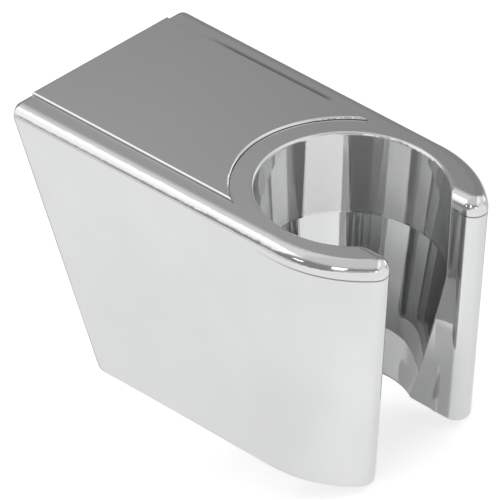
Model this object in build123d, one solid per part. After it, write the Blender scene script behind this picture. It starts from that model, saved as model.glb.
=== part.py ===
from build123d import *
from math import cos, radians, sin, sqrt, tan
import os

# Driving dimensions, millimetres and degrees.
# The holder is drawn with its top flat and level and the socket axis upright, then leaned onto the wall.

# Handset socket and hose slot
socket_diameter = 24.5
socket_straight = 12.2
socket_foot_diameter = 18.0
socket_edge_round = 0.4
slot_width = 14.8

# Body
body_height = 34.5
socket_reach = 43.8
arm_wall = 3.75
nose_lead = 1.3
back_width = 33.1
wall_lean = 24.2
side_draft = 0.8
top_round = 1.75
tip_round = 2.0
heel_round = 1.5
foot_round = 0.7

# Relief low on each slot wall
relief_height = 8.2
relief_depth = 0.5
relief_flat = 7.9
relief_front = 9.7

# Cover cap
cap_width = 25.2
cap_land = 3.05
cap_inset = 0.6
cap_proud = 0.35
cap_thickness = 1.0
cap_edge_round = 0.25
cap_gap = 0.1

# Screw chamber under the cap
back_wall = 3.0
floor_wall = 3.0
chamber_half_width = 10.6
chamber_front = 26.0
chamber_corner_round = 1.5
screw_spacing = 12.0
screw_hole_diameter = 5.2
screw_depth = 8.4

# Snap tongues on the cap
fit_clearance = 0.25
tongue_thickness = 1.4
tongue_length = 12.0
tongue_drop = 5.0
tongue_centre = 15.0
bead_height = 0.5
bead_half = 0.7
bead_drop = 3.4
locator_width = 12.0
locator_drop = 2.5

# Derived sizes
socket_radius = socket_diameter / 2
socket_foot_radius = socket_foot_diameter / 2
slot_half = slot_width / 2
nose_radius = socket_radius + arm_wall
back_half = back_width / 2
nose_centre = socket_reach + nose_lead
lean = radians(wall_lean)
recess_depth = cap_thickness - cap_proud
cap_half = cap_width / 2
cap_arc_radius = socket_radius + cap_land
relief_start = body_height - relief_height
wall_face_length = body_height / cos(lean)
beyond = 12.0
side_taper = (back_half - nose_radius) / nose_centre


def prism(points, half_width):
    """A side profile in X and Z, pushed out evenly to both sides of the middle plane."""
    face = Plane.XZ * make_face(Polyline(*points, close=True))
    return extrude(face, amount=half_width, both=True)


def plan_prism(points, top, bottom):
    """A plan outline in X and Y between two heights."""
    face = Pos(0, 0, bottom) * make_face(Polyline(*points, close=True))
    return extrude(face, amount=top - bottom)


def both_sides(shape):
    """A shape and its mirror image across the middle plane."""
    return shape + mirror(shape, about=Plane.XZ)


def drum(radius, top, bottom):
    """A round bar on the socket axis between two heights."""
    return Pos(socket_reach, 0, (top + bottom) / 2) * Cylinder(radius, top - bottom)


# Outer form: a slightly tapered block with a round nose, drafted towards the underside
shoulder = Vector(nose_centre - nose_radius * sin(side_taper), nose_radius * cos(side_taper))
run_back = shoulder.X + beyond
tail = Vector(-beyond, shoulder.Y + run_back * tan(side_taper))
outline = make_face([
    Line((tail.X, -tail.Y), (shoulder.X, -shoulder.Y)),
    ThreePointArc((shoulder.X, -shoulder.Y), (nose_centre + nose_radius, 0), (shoulder.X, shoulder.Y)),
    Line((shoulder.X, shoulder.Y), (tail.X, tail.Y)),
    Line((tail.X, tail.Y), (tail.X, -tail.Y)),
])
block = extrude(outline, amount=body_height, dir=(0, 0, -1), taper=side_draft)

# Side form: the back cut to the wall's lean, the heel rounded
front_limit = nose_centre + nose_radius + beyond
heel_x = body_height * tan(lean)
side_form = prism([
    (0, 0), (front_limit, 0), (front_limit, -body_height), (heel_x, -body_height)], back_half + beyond)
heel_edge = side_form.edges().filter_by(Axis.Y).group_by(Axis.Z)[0].sort_by(Axis.X)[0]
side_form = fillet(heel_edge, heel_round)
body = block & side_form

# Hose slot through the nose, the two arm tips rounded
slot_length = front_limit - socket_reach
slot_middle = socket_reach + slot_length / 2
slot_bar = Pos(slot_middle, 0, -body_height / 2) * Box(slot_length, slot_width, body_height + beyond)
body = body - slot_bar
tip_edges = body.edges().filter_by(lambda e: abs(abs(e.center().Y) - slot_half) < socket_edge_round
                                   and e.center().X > socket_reach + socket_foot_radius
                                   and e.length > body_height / 2)
body = fillet(tip_edges, tip_round)

# Rounded edges: top edge large along the sides, the tips and the slot, underside outer edge small
top_edges = body.edges().filter_by(lambda e: abs(e.center().Z) < socket_edge_round
                                   and e.center().X > back_wall
                                   and abs(e.center().Y) > slot_half - socket_edge_round)
body = fillet(top_edges, top_round)
foot_edges = body.edges().filter_by(lambda e: abs(e.center().Z + body_height) < foot_round
                                    and e.center().X > heel_x + heel_round
                                    and abs(e.center().Y) > slot_half + socket_edge_round)
body = fillet(foot_edges, foot_round)

# Socket: straight at the mouth, tapered below
socket = drum(socket_radius, beyond, -socket_straight)
cone_height = body_height - socket_straight
slope = (socket_radius - socket_foot_radius) / cone_height
cone = Pos(socket_reach, 0, -socket_straight - (cone_height + beyond) / 2) * Cone(
    socket_foot_radius - beyond * slope, socket_radius, cone_height + beyond)
body = body - socket - cone

# Rim of the socket, and the corners where the slot leaves it
rim_edges = body.edges().filter_by(GeomType.CIRCLE).filter_by(
    lambda e: abs(e.radius - socket_radius) < socket_edge_round and abs(e.center().Z) < socket_edge_round)
corner_edges = body.edges().filter_by(
    lambda e: abs(abs(e.center().Y) - slot_half) < fit_clearance
    and socket_reach < e.center().X < socket_reach + socket_radius
    and e.length > socket_straight / 2)
body = fillet(rim_edges + corner_edges, socket_edge_round)

# Relief low on both slot walls
relief_low = slot_half + relief_depth
relief_plan = plan_prism([
    (socket_reach, 0), (socket_reach + relief_front, 0), (socket_reach + relief_front, slot_half),
    (socket_reach + relief_flat, relief_low), (socket_reach, relief_low)],
    -relief_start, -body_height - beyond)
relief_front_view = Plane.YZ * make_face(Polyline(
    (0, -relief_start), (slot_half, -relief_start), (relief_low, -body_height),
    (relief_low, -body_height - beyond), (0, -body_height - beyond), close=True))
relief = relief_plan & (Pos(socket_reach, 0, 0) * extrude(relief_front_view, amount=relief_front))
body = body - both_sides(relief)

# Seat for the cap, open at the back
seat_half = cap_half + cap_gap
seat_reach = socket_reach + beyond
seat = Pos(seat_reach / 2 - beyond, 0, -recess_depth / 2) * Box(seat_reach, 2 * seat_half, recess_depth)
seat = seat - drum(cap_arc_radius - cap_gap, beyond, -beyond)
tip_reach = socket_reach - sqrt((cap_arc_radius - cap_gap) ** 2 - seat_half ** 2)
keep = Pos((tip_reach - beyond) / 2, 0, 0) * Box(tip_reach + beyond, 2 * seat_half, beyond)
body = body - (seat & keep)

# Screw chamber, drawn upwards out of the mould
inner_offset = back_wall / cos(lean)
chamber_floor = body_height - floor_wall
chamber = prism([
    (inner_offset, 0), (chamber_front, 0), (chamber_front, -chamber_floor),
    (inner_offset + chamber_floor * tan(lean), -chamber_floor)], chamber_half_width)
chamber_corners = chamber.edges().filter_by(Axis.Z)
chamber = fillet(chamber_corners, chamber_corner_round)
body = body - chamber

# Grooves in the chamber walls for the snap beads
tongue_face = chamber_half_width - fit_clearance
bead_tip = tongue_face + bead_height
bead_z = -recess_depth - bead_drop
groove_tip = bead_tip + fit_clearance
groove_half = bead_half + groove_tip - bead_tip
groove_face = Plane.YZ * make_face(Polyline(
    (tongue_face, bead_z - groove_half), (groove_tip, bead_z), (tongue_face, bead_z + groove_half),
    close=True))
groove_length = tongue_length + 2 * fit_clearance
groove_bar = Pos(tongue_centre - groove_length / 2, 0, 0) * extrude(groove_face, amount=groove_length)
body = body - both_sides(groove_bar)

# Cover cap: plate, two snap tongues and a front locator
plate_length = socket_reach - cap_inset
plate_middle = cap_inset + plate_length / 2
plate = Pos(plate_middle, 0, cap_proud - cap_thickness / 2) * Box(plate_length, cap_width, cap_thickness)
plate_tip = socket_reach - sqrt(cap_arc_radius ** 2 - cap_half ** 2)
plate = plate & (Pos(plate_tip / 2, 0, 0) * Box(plate_tip, cap_width, beyond))
plate = plate - drum(cap_arc_radius, beyond, -beyond)
plate_top = plate.faces().sort_by(Axis.Z)[-1]
plate = fillet(plate_top.edges(), cap_edge_round)
tongue_y = tongue_face - tongue_thickness / 2
tongue_z = -recess_depth - tongue_drop / 2
tongue = Pos(tongue_centre, tongue_y, tongue_z) * Box(tongue_length, tongue_thickness, tongue_drop)
bead_face = Plane.YZ * make_face(Polyline(
    (tongue_face, bead_z - bead_half), (bead_tip, bead_z), (tongue_face, bead_z + bead_half), close=True))
bead = Pos(tongue_centre - tongue_length / 2, 0, 0) * extrude(bead_face, amount=tongue_length)
locator_x = chamber_front - fit_clearance - tongue_thickness / 2
locator_z = -recess_depth - locator_drop / 2
locator = Pos(locator_x, 0, locator_z) * Box(tongue_thickness, locator_width, locator_drop)
cap = plate + both_sides(tongue + bead) + locator

# Lean the holder onto the wall: wall face in the plane X = 0, its middle at the origin
mounted = Pos(0, 0, wall_face_length / 2) * Rot(0, wall_lean, 0)
body = mounted * body
cap = mounted * cap

# Screw holes, square to the wall
screw_z = wall_face_length / 2 - screw_depth
screw_rod = Rot(0, 90, 0) * Cylinder(screw_hole_diameter / 2, 4 * back_wall)
screw_bar = Pos(0, screw_spacing / 2, screw_z) * screw_rod
body = body - both_sides(screw_bar)

os.makedirs("parts", exist_ok=True)
body.label = "holder_body"
cap.label = "cover_cap"
export_step(body, "parts/holder_body.step")
export_step(cap, "parts/cover_cap.step")
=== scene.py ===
import math

import bpy
from mathutils import Matrix, Vector

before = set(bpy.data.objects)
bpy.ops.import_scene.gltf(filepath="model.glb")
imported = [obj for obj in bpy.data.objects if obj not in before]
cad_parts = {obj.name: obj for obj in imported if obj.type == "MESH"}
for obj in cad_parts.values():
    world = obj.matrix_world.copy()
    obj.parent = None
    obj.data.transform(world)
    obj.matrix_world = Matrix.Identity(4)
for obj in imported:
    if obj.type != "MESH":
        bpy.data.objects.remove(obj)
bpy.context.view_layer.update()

# Sizes of the part in metres, as in its source: the lean of the socket axis, the body's height along that
# axis, the socket's reach from the back edge, its radius and straight length, half the slot, half the cap
LEAN = math.radians(24.2)
BODY_HEIGHT = 0.0345
SOCKET_REACH = 0.0438
SOCKET_RADIUS = 0.01225
SOCKET_STRAIGHT = 0.0122
SLOT_HALF = 0.0074
CAP_HALF = 0.0126

# Mould seam round the nose and tips, its dark line painted shade in the crease, in metres; here and below a
# pair is where a fade begins and ends
SEAM_DEPTH = 0.00215
SEAM_HALF_WIDTH = (0.00004, 0.00016)
SEAM_PAST_AXIS = (-0.004, 0.008)
SEAM_PAST_SOCKET = (0.0002, 0.0006)

# Thin plating on the straight socket wall, in metres
THIN_PAST_SOCKET = (0.0002, 0.0005)
THIN_FADE = 0.0005

# Painted shade low in the taper and low on the slot walls, deep in the socket and slot, in metres
TAPER_PAST_SOCKET = (-0.0005, 0.0)
TAPER_SHADE_DEPTH = (0.0195, 0.026)
SLOT_PAST_AXIS = (0.00825, 0.00875)
SLOT_PAST_WALL = (0.0, 0.0001)
SLOT_SHADE_DEPTH = (0.0188, 0.0208)

# Painted shade in the groove beside the cap's far edge, in metres
JOINT_SHADE_RISE = (-0.0002, 0.0)
JOINT_SHADE_FALL = (0.0002, 0.0011)
JOINT_SHADE_BACK = (0.006, 0.013)
JOINT_SHADE_FRONT = (0.0275, 0.0295)
JOINT_SHADE_DEPTH = (0.0002, 0.0005)

# Chrome: colour and roughness of each piece
BODY_COLOUR = (0.70, 0.704, 0.706)
BODY_ROUGHNESS = 0.03
CAP_COLOUR = (0.69, 0.694, 0.696)
CAP_ROUGHNESS = 0.045

# Chrome patterns: waves per metre, fine detail, and the noise levels between which each one comes in
CLOUD_SCALE = 60.0
HAZE_SCALE = 900.0
PEEL_SCALE = 420.0
FINE_DETAIL = 2.0
CLOUD_IN_TONE = (0.35, 0.65)
CLOUD_IN_ROUGHNESS = (0.4, 0.8)
CLOUD_IN_METAL = (0.3, 0.7)
HAZE_IN_ROUGHNESS = (0.5, 0.8)

# Chrome marks and painted shade: how much each one changes the tone, the roughness, the plate's metal share
# and the relief; the darkened tone is painted shade
DULL_TONE = 0.97
SHADE_TONE = 0.28
SOCKET_SHADE_SHARE = 0.5
CREASE_SHADE_SHARE = 0.95
CLOUD_ROUGHNESS = 0.012
HAZE_ROUGHNESS = 0.01
SEAM_ROUGHNESS = 0.1
PLATE_METAL = 0.86
CLOUD_METAL = 0.04
THIN_METAL = 0.18
PEEL_SHARE = 0.2
SURFACE_RELIEF = 0.00002

# Floor in metres: a disc just below the part, darker far behind it; ahead points to the viewer's side
FLOOR_RADIUS = 4.0
FLOOR_SIDES = 96
FLOOR_HEIGHT = -0.0365
FLOOR_AHEAD = (0.6, -0.8, 0)
FLOOR_FADE = (-0.5, -0.25)
FLOOR_TONES = (0.45, 0.9)
FLOOR_LIFTS = (0.8, 0.5)

# The floor's glow in mirrored rays: its limit behind the part, a painted pool of light in front of the nose,
# and painted shadows of the part as X, Y, radius and the share that is left
GLOW = 0.385
GLOW_FADE = (-0.035, 0.01)
LIGHT_POOL_GLOW = 0.07
LIGHT_POOL_SPOT = (0.05, -0.006)
LIGHT_POOL_FADE = (0.016, 0.036)
PAINTED_SHADOWS = ((0.012, 0.0, 0.0225, 0.8), (0.011, 0.002, 0.006, 0.0), (-0.05, -0.015, 0.025, 0.0))
PAINTED_SHADOW_FADE = 0.0025

# Studio room: its grey, the paler ceiling, and a pale lower half that is weak on the far side
ROOM_GREY = 0.25
CEILING_GLOW = 0.5
CEILING_FADE = (0.62, 0.88)
LOW_GLOW = 0.6
LOW_FADE = (-0.02, 0.08)
FAR_SIDE_FADE = (0.0, 0.3)
FAR_SIDE_SHARE = 0.1

# Light panels: turn and height of the middle, half width, half height and soft edge in degrees, and strength
PANELS = (
    (-146.5, 29, 17, 22, 9, 1.08),
    (-172, 58, 40, 8, 8, 0.2),
    (-30, 12, 34, 14, 10, 0.3),
    (-103, 27, 3, 4, 2, 2.0),
    (-67, 36, 4, 9, 2, 2.0),
    (-24, 24, 5, 4, 2, 2.0),
    (85, 6, 12, 8, 4, 1.0),
    (48, 36, 38, 24, 10, 0.65),
)
PANEL_FRONT = (0.05, 0.1)

# Camera: place, aim and level fitted to the photo's edges, in metres; focal length in pixels of the picture
EYE = Vector((0.417409, -0.336828, 0.160947))
AIM = Vector((0.019378, -0.001475, -0.007573))
LEVEL = Vector((0.687985, 0.668931, -0.281441))
FOCAL_PIXELS = 4285.0
PICTURE_PIXELS = 500.0
SENSOR_WIDTH = 36.0
NEAREST = 0.01
FARTHEST = 20.0


class Sock:
    """A node socket that can be written in formulas; every operator adds one Math node to the tree."""

    def __init__(self, tree, socket):
        self.tree = tree
        self.socket = socket

    def node(self, kind, inputs=(), out=0, **settings):
        """Makes any node, sets its properties and feeds its inputs by name or number."""
        made = self.tree.nodes.new(kind)
        for name, value in settings.items():
            setattr(made, name, value)
        for name, value in dict(inputs).items():
            if isinstance(value, Sock):
                self.tree.links.new(value.socket, made.inputs[name])
            else:
                made.inputs[name].default_value = value
        return Sock(self.tree, made.outputs[out]) if len(made.outputs) else None

    def math(self, operation, *others):
        """One Math node with this socket first."""
        values = dict(enumerate((self, *others)))
        return self.node("ShaderNodeMath", values, operation=operation)

    def __add__(self, other):
        return self.math("ADD", other)

    __radd__ = __add__

    def __sub__(self, other):
        return self.math("SUBTRACT", other)

    def __rsub__(self, other):
        return (self * -1.0) + other

    def __mul__(self, other):
        return self.math("MULTIPLY", other)

    __rmul__ = __mul__

    def __truediv__(self, other):
        return self.math("DIVIDE", other)

    def dot(self, direction):
        """The share of this vector along a direction."""
        inputs = {0: self, 1: direction}
        return self.node("ShaderNodeVectorMath", inputs, out=1, operation="DOT_PRODUCT")

    def ramp(self, low, high, start=0.0, end=1.0):
        """Runs smoothly from start to end while this value goes from low to high."""
        inputs = {"Value": self, "From Min": low, "From Max": high, "To Min": start, "To Max": end}
        return self.node("ShaderNodeMapRange", inputs, interpolation_type="SMOOTHSTEP")

    def mix(self, share, first, second):
        """A colour between two others; each one is a socket or three numbers."""
        ends = [c if isinstance(c, Sock) else (*c, 1.0) for c in (first, second)]
        return self.node("ShaderNodeMix", {0: share, 6: ends[0], 7: ends[1]}, out=2, data_type="RGBA")

    def noise(self, scale, detail=3.0):
        """Cloudy noise of this coordinate."""
        inputs = {"Vector": self, "Scale": scale, "Detail": detail}
        return self.node("ShaderNodeTexNoise", inputs)


def tilt(x, y, z):
    """A direction given with the socket axis upright, turned by the lean into the mounted frame."""
    return (x * math.cos(LEAN) + z * math.sin(LEAN), y, z * math.cos(LEAN) - x * math.sin(LEAN))


def fresh_tree(owner):
    """Turns on nodes and empties the tree."""
    owner.use_nodes = True
    owner.node_tree.nodes.clear()
    return owner.node_tree


def from_spot(place, x, y):
    """Level distance from an upright line through one spot of the floor: the root of the squares' sum."""
    across = place.dot((1, 0, 0)) - x
    along = place.dot((0, 1, 0)) - y
    return (across * across + along * along).math("SQRT")


def along_body(place):
    """Depth below the top along the socket, reach from the back edge square to it, and the side position."""
    depth = BODY_HEIGHT / 2 - place.dot(tilt(0, 0, 1))
    reach = place.dot(tilt(1, 0, 0)) + BODY_HEIGHT / 2 * math.tan(LEAN)
    return depth, reach, place.dot((0, 1, 0))


def past_socket(reach, side):
    """Distance outwards from the straight socket wall: the distance from the socket axis less the radius."""
    ahead = reach - SOCKET_REACH
    return (ahead * ahead + side * side).math("SQRT") - SOCKET_RADIUS


def mould_seam_and_shade(depth, reach, side):
    """The fine seam of the mould: 1 on a line at one depth below the top, round the nose and the arm tips;
    the tone darkened along it is painted shade in its crease.

    It fades out along the straight sides and stays out of the socket.
    """
    line = (depth - SEAM_DEPTH).math("ABSOLUTE").ramp(*SEAM_HALF_WIDTH, 1.0, 0.0)
    front = (reach - SOCKET_REACH).ramp(*SEAM_PAST_AXIS)
    return line * front * past_socket(reach, side).ramp(*SEAM_PAST_SOCKET)


def thin_plating(depth, reach, side):
    """1 on the straight wall of the socket, where the plating is thinner, and 0 elsewhere."""
    wall = past_socket(reach, side).ramp(*THIN_PAST_SOCKET, 1.0, 0.0)
    return wall * depth.ramp(SOCKET_STRAIGHT - THIN_FADE, SOCKET_STRAIGHT, 1.0, 0.0)


def painted_socket_shade(depth, reach, side):
    """Painted shade deep in the socket: 1 low in the tapered part of the socket and low on the slot walls.

    It fades out upwards, and ends where the slot walls turn into the arm tips.
    """
    taper = past_socket(reach, side).ramp(*TAPER_PAST_SOCKET, 1.0, 0.0)
    ahead = (reach - SOCKET_REACH).ramp(*SLOT_PAST_AXIS)
    slot = (side.math("ABSOLUTE") - SLOT_HALF).ramp(*SLOT_PAST_WALL, 1.0, 0.0) * ahead
    return (taper * depth.ramp(*TAPER_SHADE_DEPTH)).math("MAXIMUM", slot * depth.ramp(*SLOT_SHADE_DEPTH))


def painted_joint_shade(depth, reach, side):
    """Painted shade in the groove beside the cap's far edge: 1 at the joint, fading over a millimetre and at
    both ends.
    """
    past_cap = side - CAP_HALF
    across = past_cap.ramp(*JOINT_SHADE_FALL, 1.0, 0.0) * past_cap.ramp(*JOINT_SHADE_RISE)
    along = reach.ramp(*JOINT_SHADE_BACK) * reach.ramp(*JOINT_SHADE_FRONT, 1.0, 0.0)
    return across * along * depth.ramp(*JOINT_SHADE_DEPTH, 1.0, 0.0)


def chrome(name, colour, roughness, shows_seam_and_shade):
    """Polished chrome plate: faint cloudy tone, water marks in the gloss and a very fine orange peel.

    The last argument is 1 where the mould seam and the painted shade beside the cap show and 0 where they
    don't; the seam's dark line is painted shade too. Thin plating shows more of the plastic below, so it is
    less metallic there.
    """
    material = bpy.data.materials.new(name)
    start = Sock(fresh_tree(material), None)
    place = start.node("ShaderNodeTexCoord", out=3)
    cloud = place.noise(CLOUD_SCALE)
    haze = place.noise(HAZE_SCALE, FINE_DETAIL)
    peel = place.noise(PEEL_SCALE, FINE_DETAIL)
    spot = along_body(place)
    # The seam's dark line and the band beside the cap's far edge are painted shade in the crease and the
    # groove
    seam_and_shade = mould_seam_and_shade(*spot) * shows_seam_and_shade
    joint_shade = painted_joint_shade(*spot) * shows_seam_and_shade
    dull = [DULL_TONE * c for c in colour]
    shaded = [SHADE_TONE * c for c in colour]
    tone = start.mix(cloud.ramp(*CLOUD_IN_TONE), dull, colour)
    # Painted shade low in the socket's taper and low on the slot walls
    tone = start.mix(painted_socket_shade(*spot) * SOCKET_SHADE_SHARE, tone, shaded)
    # Painted shade along the seam's crease and in the groove beside the cap
    tone = start.mix((seam_and_shade + joint_shade).math("MINIMUM", 1.0) * CREASE_SHADE_SHARE, tone, shaded)
    rough = roughness + cloud.ramp(*CLOUD_IN_ROUGHNESS) * CLOUD_ROUGHNESS
    rough = rough + haze.ramp(*HAZE_IN_ROUGHNESS) * HAZE_ROUGHNESS + seam_and_shade * SEAM_ROUGHNESS
    metal = PLATE_METAL + cloud.ramp(*CLOUD_IN_METAL) * CLOUD_METAL - thin_plating(*spot) * THIN_METAL
    relief = {"Strength": 1.0, "Distance": SURFACE_RELIEF, "Height": peel * PEEL_SHARE - seam_and_shade}
    bump = start.node("ShaderNodeBump", relief)
    surface = {"Base Color": tone, "Metallic": metal, "Roughness": rough, "Normal": bump}
    shader = start.node("ShaderNodeBsdfPrincipled", surface)
    start.node("ShaderNodeOutputMaterial", {"Surface": shader})
    return material


def dress(node, material):
    """Puts one material in every slot of a CAD node."""
    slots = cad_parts[node].data.materials
    for i in range(len(slots)):
        slots[i] = material


def floor_paint():
    """Pale matt paint, clear from below, with a glow for the camera's rays and another for mirrored rays.

    The mirrored glow is the glow ahead of its limit, plus the painted pool of light, times what each painted
    shadow leaves.
    """
    material = bpy.data.materials.new("floor_paint")
    start = Sock(fresh_tree(material), None)
    place = start.node("ShaderNodeTexCoord", out=3)
    ahead = place.dot(FLOOR_AHEAD)
    pale = start.node("ShaderNodeBsdfDiffuse", {"Color": ahead.ramp(*FLOOR_FADE, *FLOOR_TONES)})
    # A painted pool of light in front of the nose, and painted shadows of the part on the floor, both only in
    # mirrored rays
    light_pool = from_spot(place, *LIGHT_POOL_SPOT).ramp(*LIGHT_POOL_FADE, LIGHT_POOL_GLOW, 0.0)
    bounced = ahead.ramp(*GLOW_FADE) * GLOW + light_pool
    for x, y, radius, left in PAINTED_SHADOWS:
        bounced = bounced * from_spot(place, x, y).ramp(radius, radius + PAINTED_SHADOW_FADE, left, 1.0)
    seen = start.node("ShaderNodeLightPath", out="Is Camera Ray")
    mirrored = start.node("ShaderNodeLightPath", out="Is Glossy Ray")
    colour = seen * ahead.ramp(*FLOOR_FADE, *FLOOR_LIFTS) + mirrored * bounced
    glow = start.node("ShaderNodeEmission", {"Color": colour, "Strength": 1.0})
    upper = start.node("ShaderNodeAddShader", {0: pale, 1: glow})
    lower = start.node("ShaderNodeBsdfTransparent")
    below = start.node("ShaderNodeNewGeometry", out="Backfacing")
    surface = start.node("ShaderNodeMixShader", {0: below, 1: upper, 2: lower})
    start.node("ShaderNodeOutputMaterial", {"Surface": surface})
    return material


def light_panel(way, turn, height, half_wide, half_high, edge, strength):
    """A rectangular light panel far off: its strength inside, 0 outside, soft along the edges.

    Turn and height point at its middle with the socket axis upright; turn 0 is straight ahead of the socket.
    The offsets to the side and upwards are tangents of the angle from the middle.
    """
    raised = math.radians(height)
    out_x = math.cos(math.radians(turn))
    out_y = math.sin(math.radians(turn))
    ahead = way.dot(tilt(math.cos(raised) * out_x, math.cos(raised) * out_y, math.sin(raised)))
    across = way.dot(tilt(-out_y, out_x, 0)) / ahead
    upward = way.dot(tilt(-math.sin(raised) * out_x, -math.sin(raised) * out_y, math.cos(raised))) / ahead
    inside = ahead.ramp(*PANEL_FRONT)
    for offset, half in ((across, half_wide), (upward, half_high)):
        near = math.tan(math.radians(half))
        far = math.tan(math.radians(half + edge))
        inside = inside * offset.math("ABSOLUTE").ramp(near, far, 1.0, 0.0)
    return inside * strength


def studio():
    """A grey room with a paler ceiling, a pale lower half and the panels; the camera sees plain white."""
    world = bpy.data.worlds.new("studio")
    start = Sock(fresh_tree(world), None)
    way = start.node("ShaderNodeTexCoord")
    height = way.dot(tilt(0, 0, 1))
    near_side = way.dot((0, 1, 0)).ramp(*FAR_SIDE_FADE, 1.0, FAR_SIDE_SHARE)
    room = ROOM_GREY + height.ramp(*CEILING_FADE) * CEILING_GLOW
    room = room + height.ramp(*LOW_FADE, 1.0, 0.0) * near_side * LOW_GLOW
    for panel in PANELS:
        room = room + light_panel(way, *panel)
    light = start.node("ShaderNodeBackground", {"Color": room, "Strength": 1.0})
    white = start.node("ShaderNodeBackground", {"Color": (1.0, 1.0, 1.0, 1.0), "Strength": 1.0})
    seen = start.node("ShaderNodeLightPath", out="Is Camera Ray")
    surface = start.node("ShaderNodeMixShader", {0: seen, 1: light, 2: white})
    start.node("ShaderNodeOutputWorld", {"Surface": surface})
    return world


# The two pieces
# The body carries the seam and the painted shade beside the cap; the cap carries neither
dress("holder_body", chrome("body_chrome", BODY_COLOUR, BODY_ROUGHNESS, 1.0))
dress("cover_cap", chrome("cap_chrome", CAP_COLOUR, CAP_ROUGHNESS, 0.0))

# Floor and light
bpy.ops.mesh.primitive_circle_add(
    vertices=FLOOR_SIDES, radius=FLOOR_RADIUS, fill_type="NGON", location=(0, 0, FLOOR_HEIGHT))
floor = bpy.context.object
floor.name = "floor"
floor.data.materials.append(floor_paint())
bpy.context.scene.world = studio()

# Camera: looks from the eye to the aim, rolled so that the level direction runs along the picture's width
camera_data = bpy.data.cameras.new("camera")
camera = bpy.data.objects.new("camera", camera_data)
bpy.context.scene.collection.objects.link(camera)
bpy.context.scene.camera = camera
back = (EYE - AIM).normalized()
right = (LEVEL - back * LEVEL.dot(back)).normalized()
top = back.cross(right)
camera.matrix_world = Matrix((
    (right.x, top.x, back.x, EYE.x),
    (right.y, top.y, back.y, EYE.y),
    (right.z, top.z, back.z, EYE.z),
    (0, 0, 0, 1),
))
camera_data.sensor_width = SENSOR_WIDTH
camera_data.lens = FOCAL_PIXELS / PICTURE_PIXELS * SENSOR_WIDTH
camera_data.clip_start = NEAREST
camera_data.clip_end = FARTHEST

bpy.context.scene.view_settings.view_transform = "Standard"
